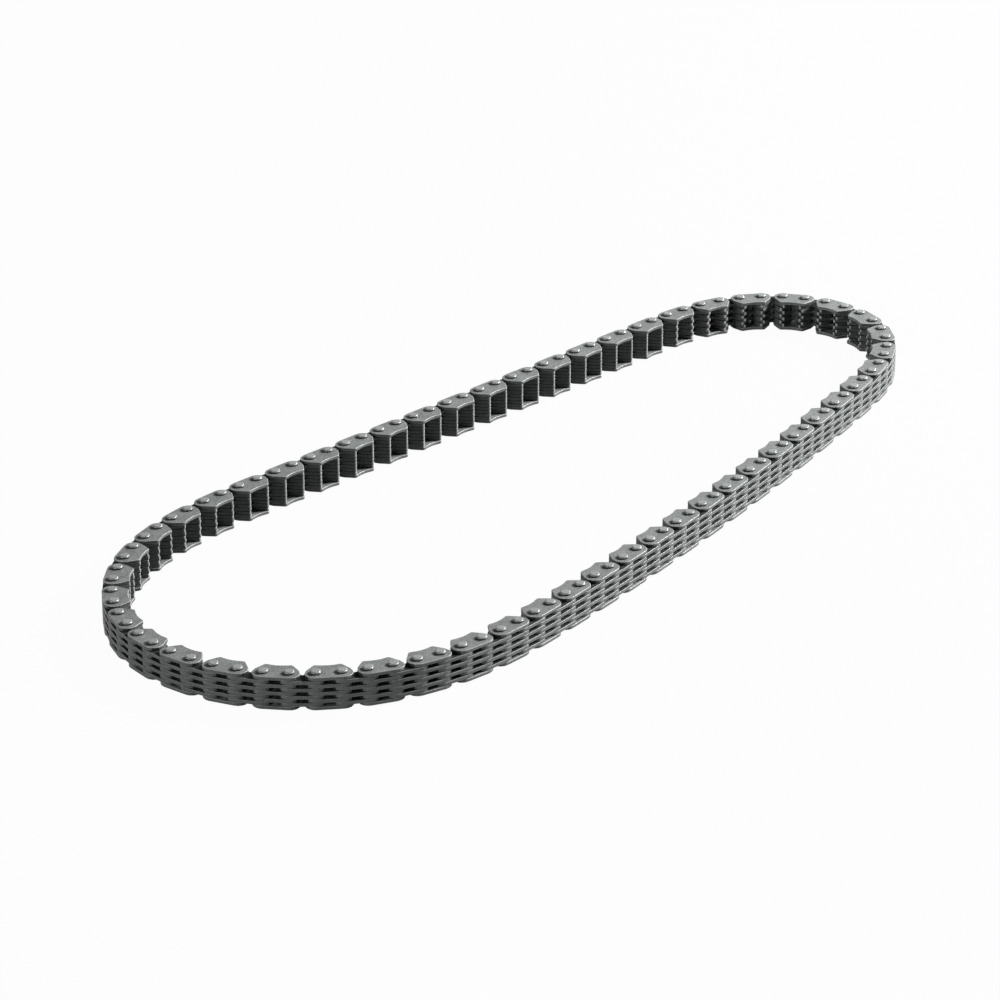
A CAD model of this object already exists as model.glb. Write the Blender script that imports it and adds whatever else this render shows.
import math

import bmesh
import bpy
from bpy.props import FloatProperty, FloatVectorProperty, IntProperty, PointerProperty
from mathutils import Matrix, Vector


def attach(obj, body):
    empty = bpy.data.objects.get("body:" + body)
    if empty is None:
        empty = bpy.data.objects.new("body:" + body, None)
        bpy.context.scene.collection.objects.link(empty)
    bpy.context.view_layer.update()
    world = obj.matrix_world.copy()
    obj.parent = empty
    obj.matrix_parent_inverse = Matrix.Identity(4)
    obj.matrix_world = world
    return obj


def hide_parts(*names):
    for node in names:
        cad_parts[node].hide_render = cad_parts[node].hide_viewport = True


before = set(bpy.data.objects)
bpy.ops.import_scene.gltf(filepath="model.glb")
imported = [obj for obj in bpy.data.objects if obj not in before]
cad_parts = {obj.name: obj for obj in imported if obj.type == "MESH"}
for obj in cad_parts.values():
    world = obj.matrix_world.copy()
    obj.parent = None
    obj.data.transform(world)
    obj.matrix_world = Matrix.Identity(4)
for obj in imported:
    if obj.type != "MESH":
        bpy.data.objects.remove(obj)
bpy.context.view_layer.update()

bl_info = {
    "name": "Silent Chain",
    "version": (1, 0, 0),
    "blender": (4, 5, 0),
    "location": "View3D > Sidebar > Chain",
    "description": "Laced link plates, riveted pins and a white stage for an endless inverted-tooth chain",
    "category": "Object",
}

SECTIONS = 52
PINS = 2 * SECTIONS

# Layers of the stack, counted from the bottom
LAYERS = 9
GUIDE_LAYERS = (0, 8)
OUTER_LAYERS = (2, 4, 6)
INNER_LAYERS = (1, 3, 5, 7)

# Straight links before the wide end begins to bend
LEAD = 1
# First guess for the turn of the wide end and for the bend at a bowed pin
FIRST_TURN = math.radians(185)
FIRST_BOW = math.radians(0.4)
# Newton steps that close the loop, and the small change that measures its slope
NEWTON_STEPS = 8
NUDGE = 1e-5

# Material slots of a plates piece: guide faces, rubbed backs, oiled faces and ends, tooth flanks, worn rims
FACE, BACK, OILED, FLANK, RIM = range(5)
# Material slots of a pins piece
PIN_END, PIN_SIDE = range(2)
# Rise of the normal above which a face counts as flat, and above which it counts as a rim
FLAT = 0.9
RAISED = 0.3
# How squarely a wall faces the outside of the loop where guide rails rub it bright
RUBBED = 0.7
# Share of a tip's radius that is worn bright
WORN_TIP = 0.6
# Points of an outline that are closer than this are one
MERGE = 0.00004
# Steps of a round plate end, of a crotch and of a pin's rounded rim, and sides of a pin
END_STEPS = 4
VALLEY_STEPS = 2
PIN_STEPS = 2
PIN_SIDES = 14
# Weight at which large faces keep their own normals and only the rims are shaded round
LARGE_FACES = 100

# Noise of the steel's fine speckle and of its soft patches: scale per metre, and detail
SPECKLE_NOISE = (2600.0, 2.0)
PATCH_NOISE = (240.0, 3.0)
# Darkest and lightest shade of a steel, as shares of its colour, and the depth of its grain
DARKEST = 0.55
LIGHTEST = 1.45
GRAIN_DEPTH = 0.00003
# Grain of a punched wall, drawn out across the plate
PUNCHED = (1, 1, 0.25)
# Sockets of a Mix node that mixes colours
MIX_FACTOR, MIX_A, MIX_B, MIX_RESULT = 0, 6, 7, 2

# The photograph's camera: where it stands around the chain, what it looks at, its lens and how far it sees
CAMERA_AZIMUTH = math.radians(44.694)
CAMERA_ELEVATION = math.radians(24.975)
CAMERA_AWAY = 1.0836
CAMERA_TARGET = (0.01664, -0.00575, 0.00505)
SENSOR = 36.0
LENS = 4.136 * SENSOR
NEAREST = 0.05
FARTHEST = 30.0
# Half the floor's side
FLOOR_REACH = 6.0
# Share of white in what the camera and reflections see of the floor; the rest keeps the shadow
FLOOR_WHITE = 0.97
WORLD_LIGHT = 0.02
# Lamps: metres to the right, behind and above as the camera sees them, width or angle, and strength
LAMPS = (
    ("Key", "AREA", (0.98, 0.36, 0.68), 0.39, 32.0),
    ("Rear", "SUN", (0.30, 0.90, 0.30), math.radians(14), 0.5),
    ("Fill", "SUN", (-0.80, -0.60, 0.30), math.radians(30), 1.0),
)


def length(label, description, default):
    return FloatProperty(
        name=label, description=description, default=default, min=0.0, precision=5, unit="LENGTH",
    )


def count(label, description, default):
    return IntProperty(name=label, description=description, default=default, min=3)


def colour(label, description, default):
    return FloatVectorProperty(
        name=label, description=description, default=default, size=3, min=0.0, max=1.0, subtype="COLOR",
    )


class ChainSizes(bpy.types.PropertyGroup):
    """Sizes of the chain's plates and pins, and how the loop lies"""

    pitch: length("Pitch", "Distance from one pin to the next", 0.00635)
    plate_t: length("Plate thickness", "Thickness of one link plate", 0.00092)
    plate_gap: length("Plate gap", "Running gap between neighbouring plates", 0.00006)
    pin_d: length("Pin diameter", "Diameter of a pin", 0.0027)
    pin_proud: length("Pin end", "Height of a pin end above the guide plate", 0.0007)
    pin_round: length("Pin rounding", "Radius of a riveted pin end's rim", 0.00035)
    end_r: length("End radius", "Radius of the round ends, and the back's distance from the pins", 0.0026)
    end_shift: length("End shift", "How far a round end's centre lies beyond the pin", 0.00015)
    tip_h: length("Tip height", "Distance from the pins to the tooth tips", 0.0042)
    tip_w: length("Tip width", "Width of a tooth's rounded tip", 0.0008)
    guide_tip_w: length("Guide tip width", "Width of a guide plate's rounded tip", 0.0014)
    guide_dip: length("Guide dip", "Depth of a guide plate's shallow inner edge", 0.00045)
    crotch_h: length("Crotch height", "Distance from the pins to the bottom of the crotch", 0.0009)
    crotch_r: length("Crotch radius", "Radius of the crotch between the teeth", 0.0009)
    flank_angle: FloatProperty(
        name="Flank angle", description="Angle of a tooth's outer flank", default=math.radians(37.5),
        subtype="ANGLE",
    )
    rim: length("Worn rim", "Width of the worn rim along a toothed plate's edges", 0.00008)
    guide_rim: length("Worn guide rim", "Width of the worn rim along a guide plate's edges", 0.00013)
    wide_pins: count("Wide end", "Pins that bend around the wide end", 37)
    narrow_pins: count("Narrow end", "Pins that bend around the narrow end", 20)
    straight_pins: count("Straight strand", "Pins that stay in line along the straight strand", 23)


class ChainColours(bpy.types.PropertyGroup):
    """Colours of the chain's steel and of the floor"""

    face: colour("Guide faces", "Tumbled flat faces of the guide plates", (0.235, 0.248, 0.245))
    back: colour("Plate backs", "Plate backs that guide rails rub bright", (0.200, 0.211, 0.208))
    oiled: colour("Oiled steel", "Dark oiled faces and ends inside the stack", (0.045, 0.048, 0.047))
    flank: colour("Tooth flanks", "Oiled flanks and crotches of the teeth", (0.110, 0.116, 0.114))
    rim: colour("Worn rims", "Bright steel of the plates' worn rims and tooth tips", (0.430, 0.450, 0.443))
    pin: colour("Pins", "Riveted ends of the pins", (0.380, 0.398, 0.392))
    floor: colour("Floor", "Pale floor under the chain", (0.35, 0.35, 0.35))


# How the loop lies


def polar(angle, r=1.0):
    return Vector((math.cos(angle), math.sin(angle))) * r


def bend(v, pins):
    """Turn after v pins of an end that bends most in its middle and by one unit a pin on the whole."""
    s = min(max(v / pins, 0.0), 1.0)
    return pins * (3 * s**2 - 2 * s**3)


def headings(sizes):
    """Heading of each link, with the two free bends set so that the loop closes."""
    bowed = PINS - sizes.wide_pins - sizes.narrow_pins - sizes.straight_pins

    def run(turn, bow):
        """Headings for a turn at each pin of the wide end and a bend at each bowed pin."""
        narrow = (math.tau - turn * sizes.wide_pins - bow * bowed) / sizes.narrow_pins
        made = []
        for i in range(PINS):
            v = i - LEAD
            made.append(
                turn * bend(v, sizes.wide_pins)
                + bow * min(max(v - sizes.wide_pins, 0), bowed)
                + narrow * bend(v - sizes.wide_pins - bowed, sizes.narrow_pins)
            )
        return made

    def miss(turn, bow):
        """How far the loop misses its own start, in pitches."""
        made = run(turn, bow)
        return Vector((sum(map(math.cos, made)), sum(map(math.sin, made))))

    turn = FIRST_TURN / sizes.wide_pins
    bow = FIRST_BOW
    for _ in range(NEWTON_STEPS):
        now = miss(turn, bow)
        by_turn = (miss(turn + NUDGE, bow) - now) / NUDGE
        by_bow = (miss(turn, bow + NUDGE) - now) / NUDGE
        scale = by_turn.x * by_bow.y - by_turn.y * by_bow.x
        turn -= (now.x * by_bow.y - now.y * by_bow.x) / scale
        bow -= (by_turn.x * now.y - by_turn.y * now.x) / scale
    return run(turn, bow)


def link_frames(sizes):
    """Matrix of each link: origin midway between its pins, X along it, Y towards the inside of the loop."""
    made = []
    place = Vector((0, 0))
    for heading in headings(sizes):
        along = polar(heading)
        made.append((place + along * sizes.pitch / 2, along, heading))
        place = place + along * sizes.pitch
    reach = sizes.pitch / 2 + sizes.end_shift
    ends = [middle + side * reach * along for middle, along, _ in made for side in (-1, 1)]
    x, y = ((min(e[i] for e in ends) + max(e[i] for e in ends)) / 2 for i in (0, 1))
    return [
        Matrix.Translation((middle.x - x, middle.y - y, 0)) @ Matrix.Rotation(heading, 4, "Z")
        for middle, _, heading in made
    ]


# Plates and pins


def corner(start, end, centre, r):
    """Corner that an arc about centre from direction start to end rounds off, and the rounding's reach."""
    half = (end - start) / 2
    return centre + polar((start + end) / 2, r / math.cos(half)), r * math.tan(half)


def bevel(bm, geom, offset, segments, affect):
    bmesh.ops.bevel(
        bm, geom=geom, offset=offset, offset_type="OFFSET", segments=segments, profile=0.5,
        affect=affect, material=-1, clamp_overlap=True,
    )


def level_edges(bm, high):
    """Edges that don't climb the wall of a shape that is high tall."""
    return [e for e in bm.edges if abs(e.verts[0].co.z - e.verts[1].co.z) < high / 2]


def finished(bm, name):
    """Mesh of a finished bm, shaded smooth."""
    for face in bm.faces:
        face.smooth = True
    mesh = bpy.data.meshes.new(name)
    bm.to_mesh(mesh)
    bm.free()
    return mesh


def plate_corners(sizes, guide):
    """Corners of a plate's right half, back to middle, each with its rounding's reach and steps."""
    end_x = sizes.pitch / 2 + sizes.end_shift
    far = end_x + sizes.end_r
    flank = sizes.flank_angle
    up = math.pi / 2
    nose_r = (sizes.guide_tip_w if guide else sizes.tip_w) / 2
    nose = Vector((0, sizes.tip_h - nose_r))
    nose.x = end_x + (sizes.end_r - nose_r - math.sin(flank) * nose.y) / math.cos(flank)
    if guide:
        valley_r = (nose.x**2 + sizes.guide_dip**2) / (2 * sizes.guide_dip) - nose_r
        valley = Vector((0, sizes.tip_h - sizes.guide_dip + valley_r))
        inner = math.atan2(valley.y - nose.y, -nose.x)
    else:
        valley_r = sizes.crotch_r
        valley = Vector((0, sizes.crotch_h + valley_r))
        reach = nose - valley
        inner = math.pi + math.atan2(reach.y, reach.x) - math.acos((nose_r + valley_r) / reach.length)
    shoulder_reach = sizes.end_r * math.tan(flank / 2)
    return [
        (Vector((far, -sizes.end_r)), sizes.end_r, END_STEPS),
        (Vector((far, shoulder_reach)), shoulder_reach, 1),
        (*corner(flank, up, nose, nose_r), 2 if guide else 1),
        (*corner(up, inner, nose, nose_r), 1),
        (*corner(-up, inner - math.pi, valley, valley_r), VALLEY_STEPS),
    ]


def plate_mesh(sizes, name, guide):
    """One link plate about its own middle, its lower face on Z = 0 and its teeth on the +Y side."""
    right = plate_corners(sizes, guide)
    bm = bmesh.new()
    points = [bm.verts.new((q.x, q.y, 0)) for q, _, _ in right]
    points += [bm.verts.new((-q.x, q.y, 0)) for q, _, _ in reversed(right)]
    bm.faces.new(points)
    for i, (_, reach, steps) in enumerate(right):
        bevel(bm, [points[i], points[-1 - i]], reach, steps, "VERTICES")
    bmesh.ops.remove_doubles(bm, verts=bm.verts, dist=MERGE)

    raised = bmesh.ops.extrude_face_region(bm, geom=list(bm.faces), use_keep_orig=True)["geom"]
    top = [g for g in raised if isinstance(g, bmesh.types.BMVert)]
    bmesh.ops.translate(bm, verts=top, vec=(0, 0, sizes.plate_t))
    bmesh.ops.recalc_face_normals(bm, faces=bm.faces)
    rims = level_edges(bm, sizes.plate_t)
    bevel(bm, rims, sizes.guide_rim if guide else sizes.rim, 1, "EDGES")

    tip_w = sizes.guide_tip_w if guide else sizes.tip_w
    for face in bm.faces:
        y = face.calc_center_median().y
        rise = abs(face.normal.z)
        tip = y > sizes.tip_h - WORN_TIP * tip_w / 2
        rubbed = face.normal.y < -RUBBED * face.normal.xy.length
        if rise > FLAT:
            face.material_index = FACE if guide else OILED
        elif (rise > RAISED and (guide or rubbed)) or (tip and not guide):
            face.material_index = RIM
        elif rubbed or tip:
            face.material_index = BACK
        else:
            face.material_index = FLANK if y > 0 else OILED
    return finished(bm, name)


def pin_mesh(sizes, name):
    """One pin on the Z axis from Z = 0 up, with riveted, rounded ends."""
    high = LAYERS * (sizes.plate_t + sizes.plate_gap) - sizes.plate_gap + 2 * sizes.pin_proud
    r = sizes.pin_d / 2
    bm = bmesh.new()
    bmesh.ops.create_cone(
        bm, cap_ends=True, cap_tris=False, segments=PIN_SIDES, radius1=r, radius2=r, depth=high,
        matrix=Matrix.Translation((0, 0, high / 2)),
    )
    bevel(bm, level_edges(bm, high), sizes.pin_round, PIN_STEPS, "EDGES")
    for face in bm.faces:
        face.material_index = PIN_END if abs(face.normal.z) > RAISED else PIN_SIDE
    return finished(bm, name)


def put(bm, mesh, matrix):
    """Adds a copy of a mesh to bm at matrix."""
    had = len(bm.verts)
    bm.from_mesh(mesh)
    bm.verts.ensure_lookup_table()
    bmesh.ops.transform(bm, matrix=matrix, verts=bm.verts[had:])


def section_name(k):
    return f"section_{k + 1:02d}"


def section_nodes(k, pins):
    """CAD nodes that a section's plates or pins stand for."""
    name = section_name(k)
    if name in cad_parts:
        return [name]
    return [n for n in sorted(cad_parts) if n.startswith(name + "_") and n.endswith("_pin") == pins]


def section_piece(k, bm, materials, pins):
    """The plates or the pins of a section, riding on its body."""
    made_of = "pins" if pins else "plates"
    name = f"{section_name(k)}_{made_of}"
    mesh = bpy.data.meshes.new(name)
    bm.to_mesh(mesh)
    bm.free()
    for material in materials:
        mesh.materials.append(material)
    made = bpy.data.objects.new(name, mesh)
    bpy.context.collection.objects.link(made)
    flat = made.modifiers.new("Flat faces stay flat", "WEIGHTED_NORMAL")
    flat.weight = LARGE_FACES
    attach(made, section_name(k))
    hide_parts(*section_nodes(k, pins))


# Steel


def grain_group():
    """Speckle and soft patches of tumbled steel, as a shade, a roughness and a height."""
    group = bpy.data.node_groups.get("Tumbled grain")
    if group:
        return group
    group = bpy.data.node_groups.new("Tumbled grain", "ShaderNodeTree")
    group.interface.new_socket("Vector", in_out="INPUT", socket_type="NodeSocketVector")
    for label in ("Speckle", "Patches", "Roughness", "Roughness Spread"):
        group.interface.new_socket(label, in_out="INPUT", socket_type="NodeSocketFloat")
    for label in ("Shade", "Roughness", "Height"):
        group.interface.new_socket(label, in_out="OUTPUT", socket_type="NodeSocketFloat")
    nodes = group.nodes
    link = group.links.new
    given = nodes.new("NodeGroupInput").outputs
    out = nodes.new("NodeGroupOutput").inputs

    def noise(scale, detail):
        """Noise that swings about zero."""
        node = nodes.new("ShaderNodeTexNoise")
        node.inputs["Scale"].default_value = scale
        node.inputs["Detail"].default_value = detail
        link(given["Vector"], node.inputs["Vector"])
        return maths("SUBTRACT", node.outputs["Fac"], 0.5)

    def maths(operation, *values):
        node = nodes.new("ShaderNodeMath")
        node.operation = operation
        for socket, value in zip(node.inputs, values):
            if isinstance(value, float):
                socket.default_value = value
            else:
                link(value, socket)
        return node.outputs[0]

    fine = noise(*SPECKLE_NOISE)
    patch = noise(*PATCH_NOISE)
    # A shade of one half is the steel's own colour
    shade = maths("MULTIPLY_ADD", fine, given["Speckle"], 0.5)
    shade = maths("MULTIPLY_ADD", patch, given["Patches"], shade)
    rough = maths("MULTIPLY_ADD", maths("ADD", fine, patch), given["Roughness Spread"], given["Roughness"])
    link(shade, out["Shade"])
    link(rough, out["Roughness"])
    link(fine, out["Height"])
    return group


def steel(name, tint, speckle, patches, roughness, spread, metallic, shine, bump, stretch=(1, 1, 1)):
    """Steel whose colour swings about tint; stretch draws the grain out along an axis."""
    material = bpy.data.materials.new(name)
    material.use_nodes = True
    nodes = material.node_tree.nodes
    link = material.node_tree.links.new
    shader = nodes["Principled BSDF"]
    shader.inputs["Metallic"].default_value = metallic
    shader.inputs["Specular IOR Level"].default_value = shine

    where = nodes.new("ShaderNodeTexCoord")
    lay = nodes.new("ShaderNodeMapping")
    lay.inputs["Scale"].default_value = stretch
    grain = nodes.new("ShaderNodeGroup")
    grain.node_tree = grain_group()
    grain.inputs["Speckle"].default_value = speckle
    grain.inputs["Patches"].default_value = patches
    grain.inputs["Roughness"].default_value = roughness
    grain.inputs["Roughness Spread"].default_value = spread
    link(where.outputs["Object"], lay.inputs["Vector"])
    link(lay.outputs["Vector"], grain.inputs["Vector"])
    link(grain.outputs["Roughness"], shader.inputs["Roughness"])

    swing = nodes.new("ShaderNodeMix")
    swing.data_type = "RGBA"
    swing.inputs[MIX_A].default_value = (*(c * DARKEST for c in tint), 1)
    swing.inputs[MIX_B].default_value = (*(c * LIGHTEST for c in tint), 1)
    link(grain.outputs["Shade"], swing.inputs[MIX_FACTOR])
    link(swing.outputs[MIX_RESULT], shader.inputs["Base Color"])

    raised = nodes.new("ShaderNodeBump")
    raised.inputs["Strength"].default_value = bump
    raised.inputs["Distance"].default_value = GRAIN_DEPTH
    link(grain.outputs["Height"], raised.inputs["Height"])
    link(raised.outputs["Normal"], shader.inputs["Normal"])
    return material


def pale_floor(tint):
    """Pale floor that the camera and reflections see as white, with a faint shadow."""
    material = bpy.data.materials.new("Pale floor")
    material.use_nodes = True
    nodes = material.node_tree.nodes
    link = material.node_tree.links.new
    shader = nodes["Principled BSDF"]
    shader.inputs["Base Color"].default_value = (*tint, 1)
    shader.inputs["Roughness"].default_value = 0.9
    shader.inputs["Specular IOR Level"].default_value = 0.0

    ray = nodes.new("ShaderNodeLightPath").outputs
    seen = ray["Is Camera Ray"]
    for other in ("Is Glossy Ray", "Is Transmission Ray"):
        either = nodes.new("ShaderNodeMath")
        either.operation = "MAXIMUM"
        link(seen, either.inputs[0])
        link(ray[other], either.inputs[1])
        seen = either.outputs[0]
    share = nodes.new("ShaderNodeMath")
    share.operation = "MULTIPLY"
    share.inputs[1].default_value = FLOOR_WHITE
    link(seen, share.inputs[0])

    white = nodes.new("ShaderNodeEmission")
    mix = nodes.new("ShaderNodeMixShader")
    link(share.outputs[0], mix.inputs[0])
    link(shader.outputs[0], mix.inputs[1])
    link(white.outputs[0], mix.inputs[2])
    link(mix.outputs[0], nodes["Material Output"].inputs["Surface"])
    return material


# Operators


class CHAIN_OT_link_plates(bpy.types.Operator):
    """Make the laced link plates of each outer link and of the inner link after it"""

    bl_idname = "chain.link_plates"
    bl_label = "Link Plates"

    def execute(self, context):
        sizes = context.scene.chain_sizes
        colours = context.scene.chain_colours
        materials = [
            steel(
                "Tumbled guide faces", colours.face, speckle=1.6, patches=0.4, roughness=0.50, spread=0.2,
                metallic=0.1, shine=0.5, bump=0.35,
            ),
            steel(
                "Rubbed plate backs", colours.back, speckle=0.8, patches=0.5, roughness=0.55, spread=0.2,
                metallic=0.0, shine=0.12, bump=0.3, stretch=PUNCHED,
            ),
            steel(
                "Oiled plates", colours.oiled, speckle=0.8, patches=0.5, roughness=0.55, spread=0.2,
                metallic=0.0, shine=0.12, bump=0.3, stretch=PUNCHED,
            ),
            steel(
                "Tooth flanks", colours.flank, speckle=0.8, patches=0.5, roughness=0.55, spread=0.2,
                metallic=0.0, shine=0.12, bump=0.3, stretch=PUNCHED,
            ),
            steel(
                "Worn plate rims", colours.rim, speckle=0.3, patches=0.5, roughness=0.38, spread=0.1,
                metallic=0.1, shine=0.35, bump=0.05,
            ),
        ]
        guide = plate_mesh(sizes, "guide_plate", True)
        toothed = plate_mesh(sizes, "toothed_plate", False)
        links = link_frames(sizes)
        for k in range(SECTIONS):
            outer = links[2 * k]
            inner = links[2 * k + 1]
            bm = bmesh.new()
            for mesh, place, layers in (
                (guide, outer, GUIDE_LAYERS),
                (toothed, outer, OUTER_LAYERS),
                (toothed, inner, INNER_LAYERS),
            ):
                for layer in layers:
                    z = sizes.pin_proud + layer * (sizes.plate_t + sizes.plate_gap)
                    put(bm, mesh, place @ Matrix.Translation((0, 0, z)))
            section_piece(k, bm, materials, pins=False)
        return {"FINISHED"}


class CHAIN_OT_pins(bpy.types.Operator):
    """Make the riveted pins, two in each outer link"""

    bl_idname = "chain.pins"
    bl_label = "Pins"

    def execute(self, context):
        sizes = context.scene.chain_sizes
        colours = context.scene.chain_colours
        materials = [
            steel(
                "Riveted pin ends", colours.pin, speckle=0.6, patches=0.4, roughness=0.25, spread=0.1,
                metallic=0.1, shine=0.6, bump=0.2,
            ),
            steel(
                "Oiled pin sides", colours.oiled, speckle=0.6, patches=0.4, roughness=0.45, spread=0.1,
                metallic=0.0, shine=0.2, bump=0.2,
            ),
        ]
        pin = pin_mesh(sizes, "pin")
        links = link_frames(sizes)
        for k in range(SECTIONS):
            bm = bmesh.new()
            for side in (-1, 1):
                put(bm, pin, links[2 * k] @ Matrix.Translation((side * sizes.pitch / 2, 0, 0)))
            section_piece(k, bm, materials, pins=True)
        return {"FINISHED"}


class CHAIN_OT_stage(bpy.types.Operator):
    """Make the white floor, the soft studio light and the camera"""

    bl_idname = "chain.stage"
    bl_label = "Stage"

    def execute(self, context):
        right = Vector((-math.sin(CAMERA_AZIMUTH), math.cos(CAMERA_AZIMUTH), 0))
        back = Vector((-math.cos(CAMERA_AZIMUTH), -math.sin(CAMERA_AZIMUTH), 0))
        up = Vector((0, 0, 1))
        self.camera(context, up * math.sin(CAMERA_ELEVATION) - back * math.cos(CAMERA_ELEVATION))
        self.floor(context)
        for name, kind, (x, y, z), width, energy in LAMPS:
            lamp = bpy.data.lights.new(name, kind)
            lamp.energy = energy
            if kind == "AREA":
                lamp.shape = "DISK"
                lamp.size = width
            else:
                lamp.angle = width
            made = bpy.data.objects.new(name, lamp)
            made.location = right * x + back * y + up * z
            made.rotation_euler = made.location.to_track_quat("Z", "Y").to_euler()
            context.collection.objects.link(made)

        world = bpy.data.worlds.new("Studio")
        world.use_nodes = True
        light = world.node_tree.nodes["Background"].inputs
        light["Color"].default_value = (1, 1, 1, 1)
        light["Strength"].default_value = WORLD_LIGHT
        context.scene.world = world
        context.scene.view_settings.view_transform = "Standard"
        return {"FINISHED"}

    def camera(self, context, towards):
        """Camera that stands in direction towards from its target."""
        data = bpy.data.cameras.new("Camera")
        data.sensor_width = SENSOR
        data.lens = LENS
        data.clip_start = NEAREST
        data.clip_end = FARTHEST
        made = bpy.data.objects.new("Camera", data)
        made.location = Vector(CAMERA_TARGET) + towards * CAMERA_AWAY
        made.rotation_euler = (-towards).to_track_quat("-Z", "Y").to_euler()
        context.collection.objects.link(made)
        context.scene.camera = made

    def floor(self, context):
        bm = bmesh.new()
        bmesh.ops.create_grid(bm, x_segments=1, y_segments=1, size=FLOOR_REACH)
        mesh = bpy.data.meshes.new("Floor")
        bm.to_mesh(mesh)
        bm.free()
        mesh.materials.append(pale_floor(context.scene.chain_colours.floor))
        made = bpy.data.objects.new("Floor", mesh)
        context.collection.objects.link(made)


class CHAIN_PT_panel(bpy.types.Panel):
    """Sizes, colours and pieces of the chain"""

    bl_idname = "CHAIN_PT_panel"
    bl_label = "Silent Chain"
    bl_space_type = "VIEW_3D"
    bl_region_type = "UI"
    bl_category = "Chain"

    def draw(self, context):
        for group in (context.scene.chain_sizes, context.scene.chain_colours):
            box = self.layout.box()
            for name in group.__annotations__:
                box.prop(group, name)
        for operator in OPERATORS:
            self.layout.operator(operator.bl_idname)


OPERATORS = (CHAIN_OT_link_plates, CHAIN_OT_pins, CHAIN_OT_stage)
CLASSES = (ChainSizes, ChainColours, *OPERATORS, CHAIN_PT_panel)


def register():
    for made in CLASSES:
        bpy.utils.register_class(made)
    bpy.types.Scene.chain_sizes = PointerProperty(type=ChainSizes)
    bpy.types.Scene.chain_colours = PointerProperty(type=ChainColours)


def unregister():
    del bpy.types.Scene.chain_colours
    del bpy.types.Scene.chain_sizes
    for made in reversed(CLASSES):
        bpy.utils.unregister_class(made)


def main():
    register()
    bpy.ops.chain.link_plates()
    bpy.ops.chain.pins()
    bpy.ops.chain.stage()


if __name__ == "__main__":
    main()
